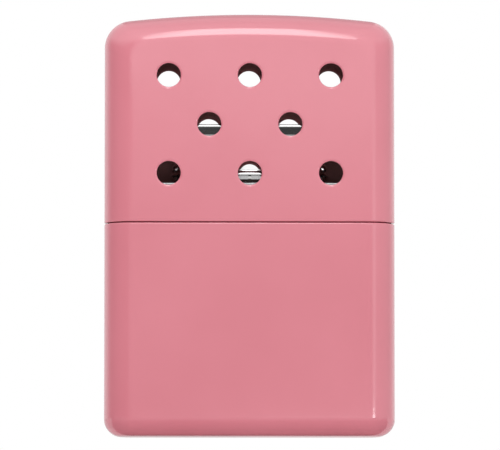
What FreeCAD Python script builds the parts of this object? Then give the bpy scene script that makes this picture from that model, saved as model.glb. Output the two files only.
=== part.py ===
import FreeCAD, Part
import math
import os
from FreeCAD import Vector

# Pocket-size catalytic hand warmer, millimetres.
# Origin: middle of the tank's flat bottom. X is the width, Y the thickness with the front
# facing -Y, and Z points up through the lid. One STEP file is written per piece.

# ---------------------------------------------------------------------------
# Driving dimensions
# ---------------------------------------------------------------------------

# Painted can of the tank
case_width = 51.0
case_depth = 13.2
case_corner = 5.0             # radius of the upright edges
case_height = 37.2            # flat bottom to rim
case_bottom_round = 3.0
case_inner_bevel = 2.4        # inside, over the bottom's round
case_wall = 0.6

# Painted lid, as wide and deep as the can. The corners of its top are balls, because the round
# between the arch and the sides is as large as that of the upright edges.
lid_height = 36.9             # rim to crown
lid_wall = 0.6
lid_crown_radius = 190.0      # arch of the top across the width
lid_inner_bevel = 4.2         # inside, under the top's round
seam_gap = 0.2                # between the lid's rim and the can's rim

# Vents pierced through the lid's broad walls
vent_diameter = 4.2
vent_columns = 3
vent_rows = 3
vent_pitch_x = 14.2
vent_pitch_z = 8.6
vent_lowest_row = 8.5         # above the lid's rim
back_lowest_row = 1           # the back wall has no vents behind the burner's skirt

# Plated collar that closes the can
collar_height = 7.1           # top plate above the can's rim
collar_skirt = 5.0            # reach down inside the can
collar_wall = 0.4
collar_edge_bevel = 0.5
collar_clearance = 0.2        # to the inside of the lid
pip_gap = 0.05                # what the friction pips leave of that clearance
pip_radius = 2.2              # of the ball that each pip is part of
pip_offset_x = 15.0
pip_drop = 3.6                # below the collar's top

# Filler neck
neck_height = 5.55            # mouth above the collar's top
neck_wall = 0.35

# Burner
burner_length = 27.4
burner_side_gap = 1.25        # between the burner's flat sides and the lid
burner_wall = 0.4
burner_stand_off = 0.45       # socket's lower edge above the collar
burner_rim_bevel = 0.5
burner_flange = 1.5           # width of the rim that is turned in over the mat
burner_flange_thickness = 0.45
skirt_below_bead = 0.95       # socket left in sight under the burner shell
bead_height = 0.5
bead_reach = 0.25
socket_wall = 0.3
socket_grip = 0.1             # running clearance on the neck
slit_width = 0.5
slit_height = 3.2
slit_pitch = 2.1              # along the flat sides
slit_end_turns = (-60, -30, 0, 30, 60)    # degrees, round each end
grid_thickness = 0.4
grid_border = 1.6
grid_slot_width = 0.9
grid_slot_pitch = 1.7
wool_thickness = 2.3
mat_thickness = 1.0
guard_thickness = 0.4
guard_border = 1.9
guard_bar_width = 0.55
guard_cells = 4

# Soft filling
felt_thickness = 1.5
cotton_clearance = 0.2

# Fits between pieces that stay together
fit = 0.05                    # side clearance
seat_gap = 0.2                # under what rests on its seat
overcut = 1.0                 # how far a cutting form runs past what it cuts

# ---------------------------------------------------------------------------
# Levels and plans worked out from them
# ---------------------------------------------------------------------------

lid_rim_z = case_height + seam_gap
lid_crown_z = lid_rim_z + lid_height
collar_top_z = case_height + collar_height
collar_bottom_z = case_height - collar_skirt
plate_under_z = collar_top_z - collar_wall

neck_top_z = collar_top_z + neck_height
cotton_top_z = plate_under_z - cotton_clearance

socket_bottom_z = collar_top_z + burner_stand_off
shell_bottom_z = socket_bottom_z + skirt_below_bead
grid_z = neck_top_z + seat_gap
wool_z = grid_z + grid_thickness
mat_z = wool_z + wool_thickness
guard_z = mat_z + mat_thickness
flange_z = guard_z + guard_thickness
burner_top_z = flange_z + burner_flange_thickness

lid_inner_depth = case_depth - 2 * lid_wall
burner_depth = lid_inner_depth - 2 * burner_side_gap

# insets are from the outside of the can, or of the burner
collar_inset = max(case_wall + fit, lid_wall + collar_clearance)
cotton_inset = collar_inset + collar_wall + cotton_clearance
pad_inset = burner_wall + fit
neck_inset = pad_inset + socket_wall + socket_grip
neck_length = burner_length - 2 * neck_inset
neck_depth = burner_depth - 2 * neck_inset


# ---------------------------------------------------------------------------
# Forms shared by several pieces
# ---------------------------------------------------------------------------

def plan_wire(length, depth, corner, z):
    """Rounded rectangle on the level z. Ends that are full half-circles have corner = depth / 2."""
    across = length / 2 - corner
    along = depth / 2 - corner
    quarters = ((across, along, 0), (-across, along, 90), (-across, -along, 180), (across, -along, 270))
    arcs = [Part.makeCircle(corner, Vector(x, y, z), Vector(0, 0, 1), start, start + 90)
            for x, y, start in quarters]
    edges = []
    for arc, following in zip(arcs, arcs[1:] + arcs[:1]):
        edges.append(arc)
        leave = arc.valueAt(arc.LastParameter)
        arrive = following.valueAt(following.FirstParameter)
        if leave.distanceToPoint(arrive) > 1e-6:
            edges.append(Part.makeLine(leave, arrive))
    return Part.Wire(edges)


def upright(length, depth, corner, z_low, z_high):
    """Solid with a rounded-rectangle plan between two levels."""
    return Part.Face(plan_wire(length, depth, corner, z_low)).extrude(Vector(0, 0, z_high - z_low))


def can_plan(inset, z_low, z_high):
    """Solid with the plan of the can and the lid, that far in from their outside."""
    return upright(case_width - 2 * inset, case_depth - 2 * inset, case_corner - inset, z_low, z_high)


def obround(length, depth, z_low, z_high):
    """Solid with straight sides and half-round ends."""
    return upright(length, depth, depth / 2, z_low, z_high)


def level_edges(shape, z):
    """Edges that lie wholly on the level z."""
    return [edge for edge in shape.Edges
            if abs(edge.BoundBox.ZMin - z) < 1e-4 and abs(edge.BoundBox.ZMax - z) < 1e-4]


def round_level(shape, z, radius):
    """Round the edges on the level z."""
    return shape.makeFillet(radius, level_edges(shape, z))


def bevel_level(shape, z, size):
    """Bevel the edges on the level z."""
    return shape.makeChamfer(size, level_edges(shape, z))


def under_arch(inset):
    """Everything under the lid's arched top, or under the inside of it, down to the rim."""
    crown_z = lid_crown_z - inset
    crown_radius = lid_crown_radius - inset
    reach = case_width
    drop = crown_radius - (crown_radius ** 2 - reach ** 2) ** 0.5
    shoulder_z = crown_z - drop
    arch = Part.Arc(Vector(-reach, 0, shoulder_z), Vector(0, 0, crown_z), Vector(reach, 0, shoulder_z))
    foot = [Vector(reach, 0, lid_rim_z), Vector(-reach, 0, lid_rim_z)]
    side_lines = [Part.makeLine(Vector(reach, 0, shoulder_z), foot[0]),
                  Part.makeLine(foot[0], foot[1]),
                  Part.makeLine(foot[1], Vector(-reach, 0, shoulder_z))]
    profile = Part.Face(Part.Wire([arch.toShape()] + side_lines))
    profile.translate(Vector(0, -case_depth, 0))
    return profile.extrude(Vector(0, 2 * case_depth, 0))


def places_round_obround(length, depth, pitch, end_turns):
    """Places on an obround's outline, each with the turn in degrees that faces outwards there."""
    end_radius = depth / 2
    straight = length - depth
    steps = int(straight / pitch)
    places = []
    for i in range(steps + 1):
        x = (i - steps / 2) * pitch
        places.append((x, -end_radius, -90))
        places.append((x, end_radius, 90))
    for centre_x, facing in ((straight / 2, 0), (-straight / 2, 180)):
        for turn in end_turns:
            angle = math.radians(facing + turn)
            places.append((centre_x + end_radius * math.cos(angle), end_radius * math.sin(angle),
                           facing + turn))
    return places


# ---------------------------------------------------------------------------
# Tank
# ---------------------------------------------------------------------------

def tank_case():
    """Deep-drawn can with a closed, rounded bottom."""
    outside = round_level(can_plan(0, 0, case_height), 0, case_bottom_round)
    inside = can_plan(case_wall, case_wall, case_height + overcut)
    return outside.cut(bevel_level(inside, case_wall, case_inner_bevel))


def tank_collar():
    """Plated cap of the can, with the neck's hole and four friction pips that the lid rides on."""
    outer = bevel_level(can_plan(collar_inset, collar_bottom_z, collar_top_z),
                        collar_top_z, collar_edge_bevel)
    inner = can_plan(collar_inset + collar_wall, collar_bottom_z - overcut, plate_under_z)
    hole = obround(neck_length + 2 * fit, neck_depth + 2 * fit,
                   plate_under_z - overcut, collar_top_z + overcut)
    collar = outer.cut(inner).cut(hole)
    pip_y = case_depth / 2 - lid_wall - pip_gap - pip_radius
    for x in (-pip_offset_x, pip_offset_x):
        for y in (-pip_y, pip_y):
            ball = Part.makeSphere(pip_radius, Vector(x, y, collar_top_z - pip_drop))
            collar = collar.fuse(ball.cut(inner))
    return collar.removeSplitter()


def fuel_neck():
    """Obround filler neck, brazed into the collar's plate."""
    outside = obround(neck_length, neck_depth, plate_under_z, neck_top_z)
    bore = obround(neck_length - 2 * neck_wall, neck_depth - 2 * neck_wall,
                   plate_under_z - overcut, neck_top_z + overcut)
    return outside.cut(bore)


def cotton_packing():
    """Wadding that fills the can, as wide as the inside of the collar's skirt."""
    cotton_bottom_z = case_wall + cotton_clearance
    block = can_plan(cotton_inset, cotton_bottom_z, cotton_top_z)
    return bevel_level(block, cotton_bottom_z, case_inner_bevel)


def wick_felt():
    """Felt pad that stands on the wadding, inside the neck."""
    inset = neck_wall + fit
    return obround(neck_length - 2 * inset, neck_depth - 2 * inset,
                   cotton_top_z, cotton_top_z + felt_thickness)


# ---------------------------------------------------------------------------
# Lid
# ---------------------------------------------------------------------------

def vent_centres(lowest_row):
    """Staggered rows: a full row, one with a hole fewer between, a full row."""
    centres = []
    for row in range(lowest_row, vent_rows):
        count = vent_columns - row % 2
        for i in range(count):
            centres.append(((i - (count - 1) / 2) * vent_pitch_x,
                            lid_rim_z + vent_lowest_row + row * vent_pitch_z))
    return centres


def lid_outside():
    """Block under the arch, with all edges but the rim's rounded."""
    block = Part.makeBox(case_width, case_depth, lid_height,
                         Vector(-case_width / 2, -case_depth / 2, lid_rim_z))
    block = block.common(under_arch(0))
    rounded = [edge for edge in block.Edges if edge.BoundBox.ZMax > lid_crown_z - lid_height / 2]
    return block.makeFillet(case_corner, rounded)


def lid_inside():
    """Cavity of the lid, bevelled all round under the arch."""
    top_z = lid_crown_z - lid_wall
    cavity = can_plan(lid_wall, lid_rim_z - overcut, top_z)
    return bevel_level(cavity, top_z, lid_inner_bevel).common(under_arch(lid_wall))


def lid_shell():
    """Deep-drawn lid with round vents through its front and back walls."""
    lid = lid_outside().cut(lid_inside())
    for side, lowest_row in ((-1, 0), (1, back_lowest_row)):
        for x, z in vent_centres(lowest_row):
            lid = lid.cut(Part.makeCylinder(vent_diameter / 2, case_depth, Vector(x, 0, z),
                                            Vector(0, side, 0)))
    return lid


# ---------------------------------------------------------------------------
# Burner
# ---------------------------------------------------------------------------

def burner_shell():
    """Drawn and polished obround shell: rim turned in over the mat, beaded lower edge."""
    outside = obround(burner_length, burner_depth, shell_bottom_z, burner_top_z)
    outside = bevel_level(outside, burner_top_z, burner_rim_bevel)
    bead = obround(burner_length + 2 * bead_reach, burner_depth + 2 * bead_reach,
                   shell_bottom_z, shell_bottom_z + bead_height)
    inside = obround(burner_length - 2 * burner_wall, burner_depth - 2 * burner_wall,
                     shell_bottom_z - overcut, flange_z)
    window = obround(burner_length - 2 * burner_flange, burner_depth - 2 * burner_flange,
                     flange_z - overcut, burner_top_z + overcut)
    return outside.fuse(bead).cut(inside).cut(window).removeSplitter()


def burner_socket():
    """Thin sleeve slit into spring fingers, which grips the neck."""
    outer_length = burner_length - 2 * pad_inset
    outer_depth = burner_depth - 2 * pad_inset
    sleeve = obround(outer_length, outer_depth, socket_bottom_z, grid_z)
    sleeve = sleeve.cut(obround(outer_length - 2 * socket_wall, outer_depth - 2 * socket_wall,
                                socket_bottom_z - overcut, grid_z + overcut))
    for x, y, turn in places_round_obround(outer_length, outer_depth, slit_pitch, slit_end_turns):
        slit = Part.makeBox(2 * overcut, slit_width, slit_height + overcut,
                            Vector(-overcut, -slit_width / 2, -overcut))
        slit.rotate(Vector(0, 0, 0), Vector(0, 0, 1), turn)
        slit.translate(Vector(x, y, socket_bottom_z))
        sleeve = sleeve.cut(slit)
    return sleeve


def burner_layer(inset, z_low, thickness):
    """Flat obround layer inside the burner shell, that far in from its outside."""
    return obround(burner_length - 2 * inset, burner_depth - 2 * inset, z_low, z_low + thickness)


def support_grid():
    """Slotted plate under the pads. It rests on the neck's mouth."""
    plate = burner_layer(pad_inset, grid_z, grid_thickness)
    slot_length = burner_depth - 2 * (pad_inset + grid_border)
    row_length = burner_length - burner_depth
    count = int(row_length / grid_slot_pitch)
    for i in range(count + 1):
        slot_x = (i - count / 2) * grid_slot_pitch
        slot = Part.makeBox(grid_slot_width, slot_length, grid_thickness + 2 * overcut,
                            Vector(slot_x - grid_slot_width / 2, -slot_length / 2, grid_z - overcut))
        plate = plate.cut(slot)
    return plate


def glass_wool():
    """Plain glass-wool backing of the mat."""
    return burner_layer(pad_inset, wool_z, wool_thickness)


def catalyst_mat():
    """Platinum-coated glass-fibre mat, seen through the burner's window."""
    return burner_layer(pad_inset, mat_z, mat_thickness)


def mat_guard():
    """Pressed lattice that holds the mat down under the turned-in rim."""
    plate = burner_layer(pad_inset, guard_z, guard_thickness)
    border = pad_inset + guard_border
    inner_length = burner_length - 2 * border
    inner_depth = burner_depth - 2 * border
    window = burner_layer(border, guard_z, guard_thickness)
    cell = inner_length / guard_cells
    slope = math.degrees(math.atan2(inner_depth, cell))
    bar_length = 2 * math.hypot(cell, inner_depth)
    bars = []
    for i in range(guard_cells):
        for way in (-1, 1):
            bar = Part.makeBox(bar_length, guard_bar_width, guard_thickness,
                               Vector(-bar_length / 2, -guard_bar_width / 2, 0))
            bar.rotate(Vector(0, 0, 0), Vector(0, 0, 1), way * slope)
            bar.translate(Vector((i - (guard_cells - 1) / 2) * cell, 0, guard_z))
            bars.append(bar)
    lattice = bars[0].multiFuse(bars[1:]).common(window)
    return plate.cut(window).fuse(lattice).removeSplitter()


# ---------------------------------------------------------------------------
# One file per piece
# ---------------------------------------------------------------------------

pieces = (tank_case, tank_collar, fuel_neck, cotton_packing, wick_felt, lid_shell,
          burner_shell, burner_socket, support_grid, glass_wool, catalyst_mat, mat_guard)

os.makedirs("parts", exist_ok=True)
for piece in pieces:
    piece().exportStep("parts/" + piece.__name__ + ".step")
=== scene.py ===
import bmesh
import bpy
import math
from mathutils import Matrix, Vector, geometry, noise


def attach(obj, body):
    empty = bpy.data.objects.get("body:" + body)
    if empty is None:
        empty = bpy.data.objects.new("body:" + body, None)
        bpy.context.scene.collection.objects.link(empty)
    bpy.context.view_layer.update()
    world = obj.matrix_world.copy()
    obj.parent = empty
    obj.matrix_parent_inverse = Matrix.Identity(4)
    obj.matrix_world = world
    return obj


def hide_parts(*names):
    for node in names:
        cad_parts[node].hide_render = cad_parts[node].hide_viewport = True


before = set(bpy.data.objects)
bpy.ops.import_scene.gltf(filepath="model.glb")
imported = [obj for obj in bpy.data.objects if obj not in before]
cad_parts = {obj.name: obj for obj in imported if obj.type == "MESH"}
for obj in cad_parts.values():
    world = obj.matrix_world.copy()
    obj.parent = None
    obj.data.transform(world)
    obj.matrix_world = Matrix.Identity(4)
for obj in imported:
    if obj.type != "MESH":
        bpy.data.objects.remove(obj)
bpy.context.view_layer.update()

mm = 0.001

# ---------------------------------------------------------------------------
# Camera: a long lens a little below the middle of the warmer, square to its front.
# ---------------------------------------------------------------------------
camera_distance = 880 * mm
camera_turn = math.radians(-0.9)
camera_rise = math.radians(-4.5)
aim = Vector((0.12, 0, 37.27)) * mm
camera_data = bpy.data.cameras.new("studio_camera")
camera_data.lens = 360
camera_data.sensor_width = 36
camera_data.sensor_fit = "HORIZONTAL"
camera_data.clip_start = 0.01
camera = bpy.data.objects.new("studio_camera", camera_data)
bpy.context.scene.collection.objects.link(camera)
back = Vector((math.sin(camera_turn) * math.cos(camera_rise),
               -math.cos(camera_turn) * math.cos(camera_rise),
               math.sin(camera_rise)))
camera.location = aim + camera_distance * back
camera.rotation_euler = back.to_track_quat("Z", "Y").to_euler()
bpy.context.scene.camera = camera
bpy.context.scene.view_settings.view_transform = "Standard"

# ---------------------------------------------------------------------------
# Studio: a white table that keeps a soft shadow and is clear from below, a white room, four soft
# lamps, and cards, level sheets and a ceiling that only the gloss and the metal mirror.
# ---------------------------------------------------------------------------


def add_node(tree, kind, x, y, settings=(), values=()):
    """One shader node, with its settings and the values of its sockets."""
    node = tree.nodes.new("ShaderNode" + kind)
    node.location = (x, y)
    for name, value in dict(settings).items():
        setattr(node, name, value)
    for name, value in dict(values).items():
        node.inputs[name].default_value = value
    return node


def new_material(name):
    """A material with its output and nothing else."""
    made = bpy.data.materials.new(name)
    made.use_nodes = True
    made.node_tree.nodes.clear()
    output = add_node(made.node_tree, "OutputMaterial", 600, 0)
    return made, made.node_tree, output


def stage_object(name, shape, made):
    """Puts a bmesh in the scene as part of the studio."""
    data = bpy.data.meshes.new(name)
    shape.to_mesh(data)
    shape.free()
    data.materials.append(made)
    thing = bpy.data.objects.new(name, data)
    bpy.context.scene.collection.objects.link(thing)
    return thing


room = bpy.data.worlds.new("white_room")
bpy.context.scene.world = room
room.use_nodes = True
tree = room.node_tree
tree.nodes.clear()
fill_strength = 0.33
fill = add_node(tree, "Background", 0, 100,
                values={"Color": (1, 1, 1, 1), "Strength": fill_strength})
white = add_node(tree, "Background", 0, -100,
                 values={"Color": (1, 1, 1, 1), "Strength": 1.0})
path = add_node(tree, "LightPath", -600, 200)
seen = add_node(tree, "Math", -400, 200, {"operation": "MAXIMUM"})
seen_all = add_node(tree, "Math", -200, 200, {"operation": "MAXIMUM"})
mixed = add_node(tree, "MixShader", 250, 0)
world_output = add_node(tree, "OutputWorld", 450, 0)
tree.links.new(path.outputs["Is Camera Ray"], seen.inputs[0])
tree.links.new(path.outputs["Is Glossy Ray"], seen.inputs[1])
tree.links.new(seen.outputs[0], seen_all.inputs[0])
tree.links.new(path.outputs["Is Transmission Ray"], seen_all.inputs[1])
tree.links.new(seen_all.outputs[0], mixed.inputs[0])
tree.links.new(fill.outputs[0], mixed.inputs[1])
tree.links.new(white.outputs[0], mixed.inputs[2])
tree.links.new(mixed.outputs[0], world_output.inputs[0])

paper_tone = 0.82
table_glow = 0.5              # share of white that the table gives off, seen or not
shadow_reach = 0.16           # beyond it the camera sees the table fully white
shadow_glow = 0.35            # and this much of the white in the shadow's middle
table_half_side = 3.0
table_level = -0.02 * mm
table_white, tree, output = new_material("table_white")
paper = add_node(tree, "BsdfDiffuse", 0, 100,
                 values={"Color": (paper_tone, paper_tone, paper_tone, 1)})
glow = add_node(tree, "Emission", 0, 250, values={"Color": (1, 1, 1, 1), "Strength": 1.0})
clear = add_node(tree, "BsdfTransparent", 0, -100)
side = add_node(tree, "NewGeometry", -200, 300)
path = add_node(tree, "LightPath", -600, 200)
place = add_node(tree, "TexCoord", -800, 500)
reach = add_node(tree, "VectorMath", -600, 500, {"operation": "LENGTH"})
far = add_node(tree, "MapRange", -400, 500, {"interpolation_type": "SMOOTHSTEP"},
               {"From Min": 0.0, "From Max": shadow_reach, "To Min": shadow_glow, "To Max": 1.0})
far_seen = add_node(tree, "Math", -200, 500, {"operation": "MULTIPLY"})
bright = add_node(tree, "Math", -50, 400, {"operation": "MAXIMUM"})
bright.inputs[0].default_value = table_glow
lit = add_node(tree, "MixShader", 150, 200)
one_way = add_node(tree, "MixShader", 350, 0)
tree.links.new(place.outputs["Object"], reach.inputs[0])
tree.links.new(reach.outputs["Value"], far.inputs["Value"])
tree.links.new(far.outputs[0], far_seen.inputs[0])
tree.links.new(path.outputs["Is Camera Ray"], far_seen.inputs[1])
tree.links.new(far_seen.outputs[0], bright.inputs[1])
tree.links.new(bright.outputs[0], lit.inputs[0])
tree.links.new(paper.outputs[0], lit.inputs[1])
tree.links.new(glow.outputs[0], lit.inputs[2])
tree.links.new(side.outputs["Backfacing"], one_way.inputs[0])
tree.links.new(lit.outputs[0], one_way.inputs[1])
tree.links.new(clear.outputs[0], one_way.inputs[2])
tree.links.new(one_way.outputs[0], output.inputs[0])
table = bmesh.new()
bmesh.ops.create_grid(table, x_segments=1, y_segments=1, size=table_half_side)
bmesh.ops.translate(table, vec=(0, 0, table_level), verts=table.verts)
stage_object("table", table, table_white)


def seen_in_gloss_only(thing):
    """Leaves a card to reflections."""
    thing.visible_camera = False
    thing.visible_diffuse = False
    thing.visible_shadow = False
    thing.visible_transmission = False


degrees_per_step = 2


def lit_card(name, turns, levels, tone, fade, radius):
    """A card bent round the warmer, as bright as its tone, that fades out towards its edges.

    Its sides are at two turns in degrees, and it stands between two levels at that radius. The fade
    gives how far in it reaches its full tone from the left, the right, below and above.
    """
    card_white, tree, output = new_material(name)
    cover = add_node(tree, "Attribute", -400, 0, {"attribute_name": "cover"})
    nothing = add_node(tree, "BsdfTransparent", -200, 100)
    shine = add_node(tree, "Emission", -200, -100,
                     values={"Color": (1, 1, 1, 1), "Strength": tone})
    edge_fade = add_node(tree, "MixShader", 200, 0)
    tree.links.new(cover.outputs["Fac"], edge_fade.inputs[0])
    tree.links.new(nothing.outputs[0], edge_fade.inputs[1])
    tree.links.new(shine.outputs[0], edge_fade.inputs[2])
    tree.links.new(edge_fade.outputs[0], output.inputs[0])
    card = bmesh.new()
    low, high = levels
    heights = sorted({low, high, low + fade[2], high - fade[3], (low + high) / 2})
    rising = [bmesh.ops.create_vert(card, co=(0, -radius, height))["vert"][0] for height in heights]
    edges = [card.edges.new(pair) for pair in zip(rising, rising[1:])]
    bmesh.ops.rotate(card, cent=(0, 0, 0), matrix=Matrix.Rotation(math.radians(turns[0]), 3, "Z"),
                     verts=rising)
    bmesh.ops.spin(card, geom=rising + edges, cent=(0, 0, 0), axis=(0, 0, 1),
                   angle=math.radians(turns[1] - turns[0]),
                   steps=int((turns[1] - turns[0]) / degrees_per_step))
    layer = card.verts.layers.float.new("cover")
    for vert in card.verts:
        turn = math.degrees(math.atan2(vert.co.x, -vert.co.y))
        across = min((turn - turns[0]) / fade[0], (turns[1] - turn) / fade[1], 1)
        upright = min((vert.co.z - low) / fade[2], (high - vert.co.z) / fade[3], 1)
        vert[layer] = max(across, 0) * max(upright, 0)
    seen_in_gloss_only(stage_object(name, card, card_white))


def level_sheet(name, near, far, tone, level=-0.01 * mm):
    """A level sheet, a metre wide, between two distances in front of the warmer."""
    sheet_tone, tree, output = new_material(name)
    shine = add_node(tree, "Emission", 0, 0, values={"Color": (1, 1, 1, 1), "Strength": tone})
    tree.links.new(shine.outputs[0], output.inputs[0])
    laid = bmesh.new()
    bmesh.ops.create_grid(laid, x_segments=1, y_segments=1, size=0.5)
    bmesh.ops.scale(laid, vec=(1, far - near, 1), verts=laid.verts)
    bmesh.ops.translate(laid, vec=(0, -(near + far) / 2, level), verts=laid.verts)
    seen_in_gloss_only(stage_object(name, laid, sheet_tone))


# Each card's name, turns, levels, tone, fade and radius. Cards that overlap have different radii.
grey, dark = 0.37, 0.04
for card_sizes in (
        ("front_card", (-20, 30), (0.033, 0.145), grey, (8, 8, 0.001, 0.047), 0.79),
        ("left_card", (-124, -5), (0.001, 0.6), 0.1, (30, 14, 0.001, 0.25), 0.80),
        ("low_left_card", (-30, 2), (0.001, 0.155), 0.1, (8, 9, 0.001, 0.02), 0.81),
        ("right_card", (34, 128), (0.001, 0.6), 0.55, (8, 24, 0.001, 0.2), 0.80),
        ("low_lamp", (22, 36), (0.0005, 0.0352), 8.0, (5, 5, 0.0005, 0.002), 0.77),
        ("softbox_face", (-7.5, 9.5), (0.46, 1.3), 4.4, (4, 4, 0.09, 0.2), 0.78),
        ("softbox_wings", (-70, 70), (0.45, 1.3), 1.0, (30, 30, 0.1, 0.2), 0.82)):
    lit_card(*card_sizes)

# Near and far edge of each level sheet, in front of the warmer where positive, and its tone.
ceiling_level = 1.4
level_sheet("near_mat", 0.004, 0.018, dark)
level_sheet("grey_mat", 0.018, 0.5, grey)
level_sheet("far_mat", 0.5, 2.2, dark)
level_sheet("ceiling", -0.75, 0.3, 0.85, ceiling_level)
level_sheet("back_ceiling", -3.0, -0.75, 0.5, ceiling_level)


def softbox(name, width, height, distance, turn, rise, brightness):
    """A flat lamp that faces the warmer. What the gloss shows of it is a card."""
    lamp_data = bpy.data.lights.new(name, "AREA")
    lamp_data.shape = "RECTANGLE"
    lamp_data.size = width
    lamp_data.size_y = height
    lamp_data.energy = brightness * math.pi * width * height
    lamp = bpy.data.objects.new(name, lamp_data)
    bpy.context.scene.collection.objects.link(lamp)
    turn = math.radians(turn)
    rise = math.radians(rise)
    out = Vector((math.sin(turn) * math.cos(rise), -math.cos(turn) * math.cos(rise), math.sin(rise)))
    lamp.location = aim + distance * out
    lamp.rotation_euler = out.to_track_quat("Z", "Y").to_euler()
    lamp.visible_camera = False
    lamp.visible_glossy = False


# Width, height, distance, turn and rise in degrees, and brightness.
softbox("overhead_softbox", 0.52, 0.3, 0.6, 3, 42, 4.7)
softbox("left_panel", 0.45, 0.6, 0.8, -116, 12, 0.75)
softbox("right_panel", 0.45, 0.6, 0.8, 116, 12, 0.75)
softbox("back_panel", 0.5, 0.4, 0.8, 180, 25, 2.2)

# ---------------------------------------------------------------------------
# Fuel can: drawn steel with a rounded bottom and upright edges, sprayed with gloss pink lacquer
# and baked. Its rim is trimmed and turned smooth, and it is open at the top.
# ---------------------------------------------------------------------------
can_width = 51.0 * mm
can_depth = 13.2 * mm
can_height = 37.2 * mm
can_corner = 5.0 * mm
can_bottom_round = 3.0 * mm
sheet = 0.6 * mm
rim_round = 0.2 * mm
flat_border = 0.25 * mm
least_flat = 40 * mm * mm
touch = 1e-6                  # points nearer than this are one


def soften(shape, sharp_angle=35):
    """Smooth shading, but for the edges that turn more than that many degrees."""
    sharp = math.radians(sharp_angle)
    for face in shape.faces:
        face.smooth = True
    for edge in shape.edges:
        edge.smooth = len(edge.link_faces) < 2 or edge.calc_face_angle(0) < sharp


def border_flats(shape, least_area, width=flat_border):
    """Gives each large flat face a narrow border, so that the rounds beside it don't shade it."""
    for face in [face for face in shape.faces if face.calc_area() > least_area]:
        bmesh.ops.inset_region(shape, faces=[face], thickness=width, use_boundary=True,
                               use_even_offset=True)


def add_piece(name, shape, made, body, slot_name, *nodes):
    """Puts a finished bmesh in the scene as a piece of the warmer."""
    soften(shape)
    data = bpy.data.meshes.new(name)
    shape.to_mesh(data)
    shape.free()
    for one in (made if isinstance(made, (list, tuple)) else [made]):
        data.materials.append(one)
    piece = bpy.data.objects.new(name, data)
    bpy.context.scene.collection.objects.link(piece)
    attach(piece, body)
    if nodes:
        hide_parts(*nodes)
    return piece


def object_noise(tree, x, y, scale, detail=2.0, roughness=0.5, stretch=None):
    """Noise that stays with the piece, so many waves to the metre."""
    place = add_node(tree, "TexCoord", x - 400, y)
    waves = add_node(tree, "TexNoise", x, y, {"noise_dimensions": "3D"},
                     {"Scale": scale, "Detail": detail, "Roughness": roughness})
    if stretch:
        mapping = add_node(tree, "Mapping", x - 200, y, values={"Scale": stretch})
        tree.links.new(place.outputs["Object"], mapping.inputs["Vector"])
        tree.links.new(mapping.outputs[0], waves.inputs["Vector"])
    else:
        tree.links.new(place.outputs["Object"], waves.inputs["Vector"])
    return waves


def color_between(tree, factor, dark, light, x, y, low=0.35, high=0.65):
    """A colour ramp driven by a node's first output."""
    ramp = add_node(tree, "ValToRGB", x, y)
    ramp.color_ramp.elements[0].position = low
    ramp.color_ramp.elements[0].color = (*dark, 1)
    ramp.color_ramp.elements[1].position = high
    ramp.color_ramp.elements[1].color = (*light, 1)
    tree.links.new(factor.outputs[0], ramp.inputs[0])
    return ramp


def number_between(tree, factor, low, high, x, y):
    """A number that follows a node's first output between two values."""
    span = add_node(tree, "MapRange", x, y, values={"From Min": 0.3, "From Max": 0.7,
                                                    "To Min": low, "To Max": high})
    tree.links.new(factor.outputs[0], span.inputs[0])
    return span


def relief(tree, height, strength, depth, x, y, under=None):
    """A bump of that many metres, over another one if there is one."""
    bump = add_node(tree, "Bump", x, y, values={"Strength": strength, "Distance": depth})
    tree.links.new(height.outputs[0], bump.inputs["Height"])
    if under:
        tree.links.new(under.outputs[0], bump.inputs["Normal"])
    return bump


deep_pink = (0.745, 0.226, 0.278)
pale_pink = (0.77, 0.24, 0.294)
peel_depth = 0.0035 * mm
draw_depth = 0.05 * mm
pink_lacquer, tree, output = new_material("pink_lacquer")
lacquer = add_node(tree, "BsdfPrincipled", 300, 0, values={
    "Metallic": 0.0, "Coat Weight": 1.0, "Coat Roughness": 0.045, "Coat IOR": 1.8,
    "IOR": 1.45, "Specular IOR Level": 0.2})
cloud = object_noise(tree, -700, 300, 60.0)
pink = color_between(tree, cloud, deep_pink, pale_pink, -300, 300)
grain = object_noise(tree, -700, 0, 2600.0, 1.0)
gloss = number_between(tree, grain, 0.38, 0.46, -300, 0)
peel = object_noise(tree, -700, -300, 900.0, 1.5)
skin = relief(tree, peel, 0.25, peel_depth, -300, -300)
sag = object_noise(tree, -700, -600, 55.0, 1.0)
drawn = relief(tree, sag, 0.3, draw_depth, -100, -500, skin)
tree.links.new(pink.outputs[0], lacquer.inputs["Base Color"])
tree.links.new(gloss.outputs[0], lacquer.inputs["Roughness"])
tree.links.new(drawn.outputs[0], lacquer.inputs["Normal"])
tree.links.new(drawn.outputs[0], lacquer.inputs["Coat Normal"])
tree.links.new(lacquer.outputs[0], output.inputs[0])

can = bmesh.new()
bmesh.ops.create_cube(can, size=1.0)
bmesh.ops.scale(can, vec=(can_width, can_depth, can_height), verts=can.verts)
bmesh.ops.translate(can, vec=(0, 0, can_height / 2), verts=can.verts)
upright_edges = [edge for edge in can.edges
                 if abs(edge.verts[0].co.z - edge.verts[1].co.z) > can_height / 2]
bmesh.ops.bevel(can, geom=upright_edges, offset=can_corner, segments=14, profile=0.5,
                affect="EDGES", material=-1, clamp_overlap=False)
foot_edges = [edge for edge in can.edges if all(vert.co.z < touch for vert in edge.verts)]
bmesh.ops.bevel(can, geom=foot_edges, offset=can_bottom_round, segments=10, profile=0.5,
                affect="EDGES", material=-1, clamp_overlap=False)
mouth = [face for face in can.faces
         if all(vert.co.z > can_height - touch for vert in face.verts)]
bmesh.ops.delete(can, geom=mouth, context="FACES_ONLY")
bmesh.ops.recalc_face_normals(can, faces=can.faces)
border_flats(can, least_flat)
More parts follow.
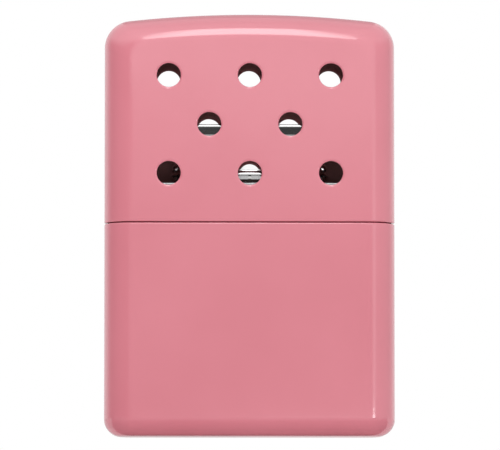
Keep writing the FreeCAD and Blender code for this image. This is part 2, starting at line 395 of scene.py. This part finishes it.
for level in (can_bottom_round + flat_border, can_height - rim_round - flat_border):
    bmesh.ops.bisect_plane(can, geom=can.verts[:] + can.edges[:] + can.faces[:], dist=touch / 10,
                           plane_co=(0, 0, level), plane_no=(0, 0, 1))
bmesh.ops.solidify(can, geom=can.faces[:], thickness=sheet)


def round_rim(shape, level, radius, segments=3):
    """Rounds the outer edge of a rim on that level."""
    edges = [edge for edge in shape.edges
             if all(abs(vert.co.z - level) < touch for vert in edge.verts)
             and any(abs(face.normal.z) < 0.5
                     and face.normal.dot(Vector((vert.co.x, vert.co.y, 0))) > 0
                     for vert in edge.verts for face in edge.link_faces)]
    bmesh.ops.bevel(shape, geom=edges, offset=radius, segments=segments, profile=0.5,
                    affect="EDGES", material=-1, clamp_overlap=False)


can.normal_update()
round_rim(can, can_height, rim_round)
add_piece("fuel_can", can, pink_lacquer, "tank", "lacquer", "tank_case")

# ---------------------------------------------------------------------------
# Lid: drawn steel like the can, with a gently arched top, ball corners and round vents pierced
# through its broad walls from outside, so that each vent has a soft outer edge.
# ---------------------------------------------------------------------------
lid_rim = 37.4 * mm
lid_crown = 74.3 * mm
arch_radius = 190.0 * mm
lid_corner = 4.8 * mm
panel_corner = 3.0 * mm
vent_radius = 2.1 * mm
vent_rollover = ((0.34, 0), (0.3, 0), (0.26, 0.008), (0.05, 0.08), (0.015, 0.11), (0.0, 0.15))
vent_pitch_x = 14.2 * mm
vent_levels = (45.9 * mm, 54.5 * mm, 63.1 * mm)
vent_counts = (3, 2, 3)
vent_segments = 56
corner_steps = 14
arch_steps = 12
round_steps = 15
core_half_width = 19 * mm     # a block inside the lid, which its inner faces look towards
core_top = 66 * mm
faces_core = -0.4

mist_brown = (0.44, 0.21, 0.21)
mist_pink = (0.52, 0.26, 0.26)
inside_tint, tree, output = new_material("inside_overspray")
bare = add_node(tree, "BsdfPrincipled", 300, 0,
                values={"Metallic": 0.0, "Specular IOR Level": 0.3})
mist = object_noise(tree, -700, 300, 240.0, 3.0)
brown = color_between(tree, mist, mist_brown, mist_pink, -300, 300)
dry = number_between(tree, mist, 0.55, 0.7, -300, 0)
specks = object_noise(tree, -700, -300, 2400.0, 2.0)
rough_coat = relief(tree, specks, 0.4, 0.01 * mm, -300, -300)
tree.links.new(brown.outputs[0], bare.inputs["Base Color"])
tree.links.new(dry.outputs[0], bare.inputs["Roughness"])
tree.links.new(rough_coat.outputs[0], bare.inputs["Normal"])
tree.links.new(bare.outputs[0], output.inputs[0])


def lid_outline(inset, corner):
    """Points (x, z) from rim to rim round the lid's front view, that far inside its outline."""
    side = can_width / 2 - inset
    arch_middle = lid_crown - arch_radius
    reach = arch_radius - inset
    across = side - corner
    up = arch_middle + math.sqrt((reach - corner) ** 2 - across ** 2)
    lean = math.asin(across / (reach - corner))
    right = [(side, lid_rim), (side, lid_rim + flat_border), (side, up - flat_border)]
    right += [(across + corner * math.cos(turn), up + corner * math.sin(turn))
              for turn in [(math.pi / 2 - lean) * i / corner_steps for i in range(corner_steps + 1)]]
    leans = [lean * i / arch_steps for i in range(arch_steps - 1, -arch_steps, -1)]
    top = [(reach * math.sin(turn), arch_middle + reach * math.cos(turn)) for turn in leans]
    return right + top + [(-x, z) for x, z in reversed(right)]


lid = bmesh.new()
order = lid.verts.layers.int.new("order")
seam = [bmesh.ops.create_vert(lid, co=(x, 0, z))["vert"][0] for x, z in lid_outline(0, lid_corner)]
for i, vert in enumerate(seam):
    vert[order] = i
edges = [lid.edges.new(pair) for pair in zip(seam, seam[1:])]
drawn_round = []
for turn in [math.pi / 2 * step / round_steps for step in range(round_steps + 1)]:
    inward = 1 - math.cos(turn)
    drawn_round.append((can_corner * inward, can_depth / 2 - can_corner * (1 - math.sin(turn)),
                        lid_corner + (panel_corner - lid_corner) * inward))
drawn_round.append((can_corner + flat_border, can_depth / 2, panel_corner - flat_border))
for inset, wall, corner in drawn_round:
    drawn = bmesh.ops.extrude_edge_only(lid, edges=edges)["geom"]
    edges = [item for item in drawn if isinstance(item, bmesh.types.BMEdge)]
    ring = sorted((item for item in drawn if isinstance(item, bmesh.types.BMVert)),
                  key=lambda vert: vert[order])
    for vert, (x, z) in zip(ring, lid_outline(inset, corner)):
        vert.co = (x, -wall, z)
lid.faces.new((ring[0], ring[1], ring[-2], ring[-1]))
lid.verts.layers.int.remove(order)
bmesh.ops.mirror(lid, geom=lid.verts[:] + lid.edges[:] + lid.faces[:], axis="Y", merge_dist=touch)

for side, lowest in ((-1, 0), (1, 1)):
    wall_y = side * can_depth / 2
    edges = [edge for edge in lid.edges
             if edge.is_boundary and all(abs(vert.co.y - wall_y) < touch for vert in edge.verts)
             and any(vert.co.z > lid_rim + touch for vert in edge.verts)]
    rows = list(zip(vent_levels, vent_counts))[lowest:]
    middles = [Vector(((i - (count - 1) / 2) * vent_pitch_x, level))
               for level, count in rows for i in range(count)]
    for middle in middles:
        place = Matrix.Translation((middle.x, wall_y, middle.y))
        place = place @ Matrix.Rotation(math.pi / 2, 4, "X")
        place = place @ Matrix.Rotation(math.pi / vent_segments, 4, "Z")
        rings = []
        for wider, deeper in vent_rollover:
            sunk = Matrix.Translation((0, -side * deeper * mm, 0))
            circle = bmesh.ops.create_circle(lid, segments=vent_segments,
                                             radius=vent_radius + wider * mm,
                                             matrix=sunk @ place)["verts"]
            rings.append(sorted(circle, key=lambda vert: math.atan2(vert.co.z - middle.y,
                                                                    vert.co.x - middle.x)))
        edges += list(dict.fromkeys(edge for vert in rings[0] for edge in vert.link_edges))
        for wide, narrow in zip(rings, rings[1:]):
            for k in range(len(wide)):
                lid.faces.new((wide[k - 1], wide[k], narrow[k], narrow[k - 1]))
    verts = list(dict.fromkeys(vert for edge in edges for vert in edge.verts))
    number = {vert: i for i, vert in enumerate(verts)}
    flat = [Vector((vert.co.x, vert.co.z)) / mm for vert in verts]
    pairs = [(number[edge.verts[0]], number[edge.verts[1]]) for edge in edges]
    filled = geometry.delaunay_2d_cdt(flat, pairs, [], 0, touch)
    clear_of_vent = vent_radius + vent_rollover[0][0] * mm
    for corners in filled[2]:
        corners = [filled[3][i][0] for i in corners]
        centre = sum((flat[i] for i in corners), Vector((0, 0))) * mm / len(corners)
        if all((centre - middle).length > clear_of_vent for middle in middles):
            lid.faces.new([verts[i] for i in corners])
bmesh.ops.recalc_face_normals(lid, faces=lid.faces)
bmesh.ops.solidify(lid, geom=lid.faces[:], thickness=sheet)
lid.normal_update()
for face in lid.faces:
    x, y, z = face.calc_center_median()
    from_core = Vector((x - max(-core_half_width, min(core_half_width, x)), y, z - min(z, core_top)))
    if face.normal.dot(from_core.normalized()) < faces_core:
        face.material_index = 1
round_rim(lid, lid_rim, rim_round)
add_piece("vented_lid", lid, [pink_lacquer, inside_tint], "lid", "lacquer", "lid_shell")

# ---------------------------------------------------------------------------
# Collar: thin plated steel cap pressed into the can's mouth. Its plate carries the neck, and four
# pips pressed out of its skirt hold the lid by friction.
# ---------------------------------------------------------------------------
collar_width = 49.4 * mm
collar_depth = 11.6 * mm
collar_top = 44.3 * mm
collar_bottom = 32.2 * mm
collar_sheet = 0.4 * mm
collar_corner = can_corner - (can_width - collar_width) / 2
collar_edge_round = 0.3 * mm
neck_across = 25.7 * mm
neck_through = 7.8 * mm
pip_across = 15.0 * mm
pip_level = 40.7 * mm
pip_width = 0.85 * mm
pip_rise = 0.15 * mm
pip_steps = 4
pip_segments = 24
hole_segments = 40
hole_gap = 0.05 * mm
painted_seam_reflection_and_shade = (0.3, 0.05, 0.07)


def metal(name, color, rough, streak, streak_depth, stretch=(1, 1, 1), tone=0.93, painted_shade_below=None,
          painted_shade_color=(0.035, 0.025, 0.024)):
    """Bare or plated metal with faint streaks that lie one way, a little duller in places.

    Up to a given level its colour may be darkened to a painted shade.
    """
    made, tree, output = new_material(name)
    face = add_node(tree, "BsdfPrincipled", 300, 0, values={"Metallic": 1.0, "IOR": 1.5})
    cloud = object_noise(tree, -700, 300, 180.0, 3.0)
    dull = tuple(tone * part for part in color)
    tint = color_between(tree, cloud, dull, color, -300, 300)
    lines = object_noise(tree, -700, 0, streak, 2.0, 0.6, stretch)
    polish = number_between(tree, lines, rough * 0.8, rough * 1.25, -300, 0)
    scratch = relief(tree, lines, 0.5, streak_depth, -300, -300)
    # painted shade: below the level the colour turns dark, standing in for shade
    if painted_shade_below:
        place = add_node(tree, "TexCoord", -900, 600)
        split = add_node(tree, "SeparateXYZ", -700, 600)
        above_painted_shade = add_node(tree, "MapRange", -500, 600, values={
            "From Min": painted_shade_below - 0.08 * mm, "From Max": painted_shade_below + 0.08 * mm,
            "To Min": 1.0, "To Max": 0.0})
        painted_shade = add_node(tree, "MixRGB", 0, 400, values={"Color2": (*painted_shade_color, 1)})
        tree.links.new(place.outputs["Object"], split.inputs[0])
        tree.links.new(split.outputs["Z"], above_painted_shade.inputs["Value"])
        tree.links.new(above_painted_shade.outputs[0], painted_shade.inputs["Fac"])
        tree.links.new(tint.outputs[0], painted_shade.inputs["Color1"])
        tint = painted_shade
    tree.links.new(tint.outputs[0], face.inputs["Base Color"])
    tree.links.new(polish.outputs[0], face.inputs["Roughness"])
    tree.links.new(scratch.outputs[0], face.inputs["Normal"])
    tree.links.new(face.outputs[0], output.inputs[0])
    return made


# Up to just above the seam the collar is darkened to a maroon painted shade and painted reflection of
# the pink rims beside it.
plated_steel = metal("plated_steel", (0.5, 0.5, 0.51), 0.36, 2200.0, 0.002 * mm, (1, 1, 0.1),
                     painted_shade_below=37.6 * mm, painted_shade_color=painted_seam_reflection_and_shade)


def round_ended(length, depth, level, steps=20, straight_steps=1):
    """A flat face with straight sides and half-round ends, on that level."""
    shape = bmesh.new()
    half = (length - depth) / 2
    spun = bmesh.ops.create_circle(shape, cap_ends=True, cap_tris=False, segments=2 * steps,
                                   radius=depth / 2)["verts"]
    bmesh.ops.rotate(shape, cent=(0, 0, 0), verts=spun,
                     matrix=Matrix.Rotation(math.pi / 2 / steps, 3, "Z"))
    for way in (-1, 1):
        bmesh.ops.translate(shape, vec=(way * half, 0, level),
                            verts=[vert for vert in spun if vert.co.x * way > 0])
    if straight_steps > 1:
        sides = [edge for edge in shape.edges if edge.calc_length() > half]
        bmesh.ops.subdivide_edges(shape, edges=sides, cuts=straight_steps - 1)
    return shape


def raise_face(shape, height):
    """Draws the only face up into a block and leaves its sides and both caps."""
    grown = bmesh.ops.extrude_face_region(shape, geom=shape.faces[:], use_keep_orig=True)
    top = [item for item in grown["geom"] if isinstance(item, bmesh.types.BMVert)]
    bmesh.ops.translate(shape, vec=(0, 0, height), verts=top)
    bmesh.ops.recalc_face_normals(shape, faces=shape.faces)
    return shape


collar = bmesh.new()
bmesh.ops.create_cube(collar, size=1.0)
bmesh.ops.scale(collar, vec=(collar_width, collar_depth, collar_top - collar_bottom),
                verts=collar.verts)
bmesh.ops.translate(collar, vec=(0, 0, (collar_top + collar_bottom) / 2), verts=collar.verts)
upright_edges = [edge for edge in collar.edges
                 if abs(edge.verts[0].co.z - edge.verts[1].co.z) > collar_sheet]
bmesh.ops.bevel(collar, geom=upright_edges, offset=collar_corner, segments=10, profile=0.5,
                affect="EDGES", material=-1, clamp_overlap=False)
top_edges = [edge for edge in collar.edges
             if all(vert.co.z > collar_top - touch for vert in edge.verts)]
bmesh.ops.bevel(collar, geom=top_edges, offset=collar_edge_round, segments=5, profile=0.5,
                affect="EDGES", material=-1, clamp_overlap=False)
below = [face for face in collar.faces
         if all(vert.co.z < collar_bottom + touch for vert in face.verts)]
bmesh.ops.delete(collar, geom=below, context="FACES_ONLY")
plate = [face for face in collar.faces
         if all(vert.co.z > collar_top - touch for vert in face.verts)]
plate_edges = list(plate[0].edges)
bmesh.ops.delete(collar, geom=plate, context="FACES_ONLY")
hole = bmesh.ops.create_circle(collar, segments=hole_segments, radius=neck_through / 2 + hole_gap,
                               matrix=Matrix.Translation((0, 0, collar_top))
                               @ Matrix.Rotation(math.pi / hole_segments, 4, "Z"))["verts"]
for way in (-1, 1):
    bmesh.ops.translate(collar, vec=(way * (neck_across - neck_through) / 2, 0, 0),
                        verts=[vert for vert in hole if vert.co.x * way > 0])
hole_edges = list(dict.fromkeys(edge for vert in hole for edge in vert.link_edges))
bmesh.ops.triangle_fill(collar, use_beauty=True, use_dissolve=False, edges=plate_edges + hole_edges,
                        normal=(0, 0, 1))
for side in (-1, 1):
    wall_y = side * collar_depth / 2
    panel = max((face for face in collar.faces
                 if all(abs(vert.co.y - wall_y) < touch for vert in face.verts)),
                key=lambda face: face.calc_area())
    edges = list(panel.edges)
    bmesh.ops.delete(collar, geom=[panel], context="FACES_ONLY")
    for x in (-pip_across, pip_across):
        place = Matrix.Translation((x, wall_y, pip_level)) @ Matrix.Rotation(math.pi / 2, 4, "X")
        circle = bmesh.ops.create_circle(collar, segments=pip_segments, radius=pip_width,
                                         matrix=place, cap_ends=True)["verts"]
        edges += list(dict.fromkeys(edge for vert in circle for edge in vert.link_edges))
        dome = circle[0].link_faces[0]
        turns = [math.pi / 2 * i / (pip_steps + 1) for i in range(pip_steps + 1)]
        for before, after in zip(turns, turns[1:]):
            rise = math.sin(after) - math.sin(before)
            bmesh.ops.inset_region(collar, faces=[dome], use_even_offset=True,
                                   thickness=pip_width * (math.cos(before) - math.cos(after)))
            bmesh.ops.translate(collar, vec=(0, side * pip_rise * rise, 0), verts=dome.verts)
    bmesh.ops.triangle_fill(collar, use_beauty=True, use_dissolve=False, edges=edges,
                            normal=(0, side, 0))
bmesh.ops.recalc_face_normals(collar, faces=collar.faces)
bmesh.ops.solidify(collar, geom=collar.faces[:], thickness=collar_sheet)
add_piece("plated_collar", collar, plated_steel, "tank", "plated_steel", "tank_collar")

# ---------------------------------------------------------------------------
# Filler neck: a plated brass tube with half-round ends, brazed into the collar's plate. The
# burner's socket grips it, and lighter fluid is poured in through it.
# ---------------------------------------------------------------------------
neck_top = 49.85 * mm
neck_foot = 43.9 * mm
neck_wall = 0.35 * mm
neck_lip_round = 0.12 * mm
# The neck's foot, up to just above the collar's plate, is darkened to a painted shade.
plated_brass = metal("plated_brass", (0.78, 0.775, 0.76), 0.16, 1500.0, 0.002 * mm, (1, 1, 0.15),
                     painted_shade_below=45.1 * mm)
neck = round_ended(neck_across, neck_through, neck_foot)
raise_face(neck, neck_top - neck_foot)
flat_caps = [face for face in neck.faces if abs(face.normal.z) > 0.9]
bmesh.ops.delete(neck, geom=flat_caps, context="FACES_ONLY")
bmesh.ops.recalc_face_normals(neck, faces=neck.faces)
bmesh.ops.solidify(neck, geom=neck.faces[:], thickness=neck_wall)
lip = [edge for edge in neck.edges if all(vert.co.z > neck_top - touch for vert in edge.verts)
       and len({round(face.normal.z) for face in edge.link_faces}) == 2]
bmesh.ops.bevel(neck, geom=lip, offset=neck_lip_round, segments=3, profile=0.5, affect="EDGES",
                material=-1, clamp_overlap=False)
add_piece("filler_neck", neck, plated_brass, "tank", "plated_brass", "fuel_neck")

# ---------------------------------------------------------------------------
# Wadding and wick: the can is stuffed with loose cotton that holds the fuel, and a pressed wool
# felt pad in the neck keeps the cotton down and feeds the vapour.
# ---------------------------------------------------------------------------


def fibre(name, dark, light, scale, depth, rough=0.9, sheen=0.3):
    """Matted soft fibres: mottled colour, fine fuzz and a faint sheen."""
    made, tree, output = new_material(name)
    face = add_node(tree, "BsdfPrincipled", 300, 0, values={
        "Roughness": rough, "Sheen Weight": sheen, "Sheen Roughness": 0.5, "Specular IOR Level": 0.2})
    cloud = object_noise(tree, -700, 300, scale * 0.3, 4.0, 0.6)
    tint = color_between(tree, cloud, dark, light, -300, 300)
    fuzz = object_noise(tree, -700, -300, scale, 6.0, 0.7)
    bumps = relief(tree, fuzz, 0.9, depth, -300, -300)
    tree.links.new(tint.outputs[0], face.inputs["Base Color"])
    tree.links.new(bumps.outputs[0], face.inputs["Normal"])
    tree.links.new(face.outputs[0], output.inputs[0])
    return made


def soft_pad(length, depth, low, high, edge_round, lump, lump_size, seed):
    """A pad with many small faces, rounded edges and a lumpy top."""
    pad = round_ended(length, depth, low, 16, 30)
    raise_face(pad, high - low)
    rim = [edge for edge in pad.edges if abs(edge.verts[0].co.z - edge.verts[1].co.z) < touch]
    bmesh.ops.bevel(pad, geom=rim, offset=edge_round, segments=4, profile=0.5, affect="EDGES",
                    material=-1, clamp_overlap=False)
    for face in [face for face in pad.faces if len(face.verts) > 4]:
        for step in range(7):
            bmesh.ops.inset_region(pad, faces=[face], thickness=depth * 0.058, use_even_offset=True)
    for vert in pad.verts:
        lift = noise.noise(Vector((vert.co.x, vert.co.y, seed)) / lump_size)
        near = min(1.0, 2 * (vert.co.z - low) / (high - low))
        vert.co.z -= lump * near * (0.5 + 0.5 * lift)
    return pad


white_cotton = fibre("white_cotton", (0.74, 0.72, 0.67), (0.86, 0.85, 0.81), 900.0, 0.25 * mm)
cotton = bmesh.new()
cotton_low = 0.8 * mm
cotton_high = 43.7 * mm
cotton_inset = 1.4 * mm
cotton_round = 3.6 * mm
cotton_middle = Vector((0, 0, (cotton_high + cotton_low) / 2))
tuft_large, tuft_small = 2.6 * mm, 1.1 * mm
tuft_share = 0.02             # how far a tuft draws in, of its distance to the middle
bmesh.ops.create_cube(cotton, size=1.0)
bmesh.ops.scale(cotton, vec=(can_width - 2 * cotton_inset, can_depth - 2 * cotton_inset,
                             cotton_high - cotton_low), verts=cotton.verts)
bmesh.ops.translate(cotton, vec=cotton_middle, verts=cotton.verts)
bmesh.ops.bevel(cotton, geom=cotton.edges[:], offset=cotton_round, segments=5, profile=0.5,
                affect="EDGES", material=-1, clamp_overlap=False)
bmesh.ops.triangulate(cotton, faces=[face for face in cotton.faces if len(face.verts) > 4])
long_edges = [edge for edge in cotton.edges if edge.calc_length() > 3 * mm]
bmesh.ops.subdivide_edges(cotton, edges=long_edges, cuts=12, use_grid_fill=True)
for vert in cotton.verts:
    tuft = noise.noise(vert.co / tuft_large) + 0.5 * noise.noise(vert.co / tuft_small)
    vert.co += (cotton_middle - vert.co) * tuft_share * (1 + tuft) / 2
wadding = add_piece("cotton_wadding", cotton, white_cotton, "tank", "cotton", "cotton_packing")

wool_felt = fibre("wool_felt", (0.60, 0.56, 0.47), (0.72, 0.68, 0.59), 1500.0, 0.12 * mm)
felt_length, felt_depth = 24.9 * mm, 7.0 * mm
felt_top = 45.2 * mm
felt = soft_pad(felt_length, felt_depth, cotton_high, felt_top, edge_round=0.25 * mm,
                lump=0.12 * mm, lump_size=1.5 * mm, seed=3.0)
felt_pad = add_piece("wick_felt_pad", felt, wool_felt, "tank", "felt", "wick_felt")

# ---------------------------------------------------------------------------
# Burner shell: brass drawn to a round-ended cup and chromed bright. It is very slightly waisted,
# its lower edge is a bead, its rim is turned in over the mat, and dimples are pressed in it.
# ---------------------------------------------------------------------------
burner_length = 27.4 * mm
burner_depth = 9.5 * mm
shell_low = 45.7 * mm
shell_high = 54.6 * mm
shell_sheet = 0.3 * mm
window_inset = 1.5 * mm
bead_tall = 0.78 * mm
chrome = metal("bright_chrome", (0.98, 0.98, 0.98), 0.05, 1200.0, 0.0006 * mm, (1, 1, 0.3), 0.97)


def sweep_round_ended(profile, half_straight, end_steps):
    """Carries a closed outline of (radius, level) points round a plan with half-round ends."""
    shape = bmesh.new()
    verts = [bmesh.ops.create_vert(shape, co=(half_straight, -radius, level))["vert"][0]
             for radius, level in profile]
    carried = verts + [shape.edges.new((verts[i - 1], verts[i])) for i in range(len(verts))]
    for way in (1, -1):
        turned = bmesh.ops.spin(shape, geom=carried, cent=(way * half_straight, 0, 0), axis=(0, 0, 1),
                                angle=math.pi, steps=end_steps)["geom_last"]
        drawn = bmesh.ops.extrude_edge_only(
            shape, edges=[item for item in turned if isinstance(item, bmesh.types.BMEdge)])["geom"]
        moved = [item for item in drawn if isinstance(item, bmesh.types.BMVert)]
        bmesh.ops.translate(shape, vec=(-2 * way * half_straight, 0, 0), verts=moved)
        carried = moved + [item for item in drawn if isinstance(item, bmesh.types.BMEdge)
                           and all(vert in moved for vert in item.verts)]
    bmesh.ops.remove_doubles(shape, verts=shape.verts, dist=touch)
    bmesh.ops.recalc_face_normals(shape, faces=shape.faces)
    return shape


half_straight = (burner_length - burner_depth) / 2
outer = burner_depth / 2
end_steps = 96
straight_cuts = 79
rim_drop = 0.4 * mm
bead_top = shell_low + bead_tall
waist = 0.13 * mm
waist_levels = (47.9 * mm, 52.7 * mm)
flare_levels = [bead_top + 0.1 * mm * i for i in range(36)] + [50.6 * mm, 51.6 * mm, 52.4 * mm]
flare_levels += [waist_levels[1] + 0.2 * mm * i for i in range(9)]


def shell_radius(level):
    """Radius of the shell's outside, which is waisted and flares a little towards its rim."""
    below = max(0.0, (waist_levels[0] - level) / (waist_levels[0] - bead_top))
    above = max(0.0, (level - waist_levels[1]) / (flare_levels[-1] - waist_levels[1]))
    return outer - waist * (1 - below - above)


bead_profile = [(outer + out * mm, shell_low + up * mm)
                for out, up in ((0.19, 0), (0.235, 0.02), (0.25, 0.05), (0.248, 0.08), (0.235, 0.27),
                                (0.21, 0.33), (0.03, 0.7), (0.01, 0.74))]
shell_profile = ([(outer - shell_sheet, shell_low)] + bead_profile
                 + [(shell_radius(level), level) for level in flare_levels[1:]]
                 + [(outer - 0.02 * mm, shell_high - 0.18 * mm),
                    (outer - 0.08 * mm, shell_high - 0.07 * mm),
                    (outer - 0.18 * mm, shell_high), (outer - window_inset + 0.1 * mm, shell_high),
                    (outer - window_inset, shell_high - 0.1 * mm),
                    (outer - window_inset, shell_high - rim_drop),
                    (outer - shell_sheet, shell_high - rim_drop)])
shell = sweep_round_ended(shell_profile, half_straight, end_steps)
straights = [edge for edge in shell.edges if edge.calc_length() > half_straight
             and all(vert.co.z > bead_top for vert in edge.verts)]
bmesh.ops.subdivide_edges(shell, edges=straights, cuts=straight_cuts)
end_level, middle_level = 47.0 * mm, 47.7 * mm
end_turn = math.radians(61)
end_reach, end_rise = 0.85 * mm, 0.5 * mm
middle_reach, middle_rise = 2.6 * mm, 0.17 * mm
for vert in shell.verts:
    beyond = abs(vert.co.x) - half_straight
    if math.hypot(max(beyond, 0), vert.co.y) > outer - waist - touch and vert.co.z > bead_top - touch:
        if beyond > 0:
            across = (math.atan2(beyond, abs(vert.co.y)) - end_turn) * outer
            reach, rise, level = end_reach, end_rise, end_level
            out = Vector((math.copysign(beyond, vert.co.x), vert.co.y, 0)).normalized()
        else:
            across = vert.co.x
            reach, rise, level = middle_reach, middle_rise, middle_level
            out = Vector((0, math.copysign(1, vert.co.y), 0))
        off = math.hypot(across, vert.co.z - level) / reach
        if off < 1:
            vert.co += out * rise * (1 - off ** 2)
shell.normal_update()
add_piece("chrome_shell", shell, chrome, "burner", "polished_chrome", "burner_shell")

# ---------------------------------------------------------------------------
# Inside the burner: a slit spring-steel socket, a slotted plate on the neck's mouth, plain glass
# wool, the dark platinum-coated mat and the pressed lattice that keeps it down.
# ---------------------------------------------------------------------------
# The lowest edge of the socket's skirt is darkened to a painted shade.
spring_steel = metal("spring_steel", (0.86, 0.86, 0.86), 0.24, 2600.0, 0.003 * mm, (1, 1, 0.12),
                     painted_shade_below=44.98 * mm)
for name in ("burner_socket", "support_grid", "mat_guard"):
    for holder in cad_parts[name].material_slots:
        holder.material = spring_steel

glass_fibre = fibre("glass_fibre", (0.66, 0.66, 0.64), (0.78, 0.78, 0.76), 1800.0, 0.15 * mm)
pad_length, pad_depth = 26.5 * mm, 8.6 * mm
glass_low, glass_top, catalyst_top = 50.45 * mm, 52.75 * mm, 53.75 * mm
glass = soft_pad(pad_length, pad_depth, glass_low, glass_top, edge_round=0.3 * mm,
                 lump=0.15 * mm, lump_size=1.8 * mm, seed=7.0)
glass_pad = add_piece("glass_wool_pad", glass, glass_fibre, "burner", "glass_fibre", "glass_wool")

woven_dark = fibre("woven_catalyst", (0.028, 0.028, 0.03), (0.06, 0.06, 0.062), 1300.0, 0.1 * mm,
                   rough=0.8, sheen=0.15)
catalyst = soft_pad(pad_length, pad_depth, glass_top, catalyst_top, edge_round=0.25 * mm,
                    lump=0.08 * mm, lump_size=1.1 * mm, seed=11.0)
catalyst_pad = add_piece("catalyst_mat_pad", catalyst, woven_dark, "burner", "catalyst",
                         "catalyst_mat")
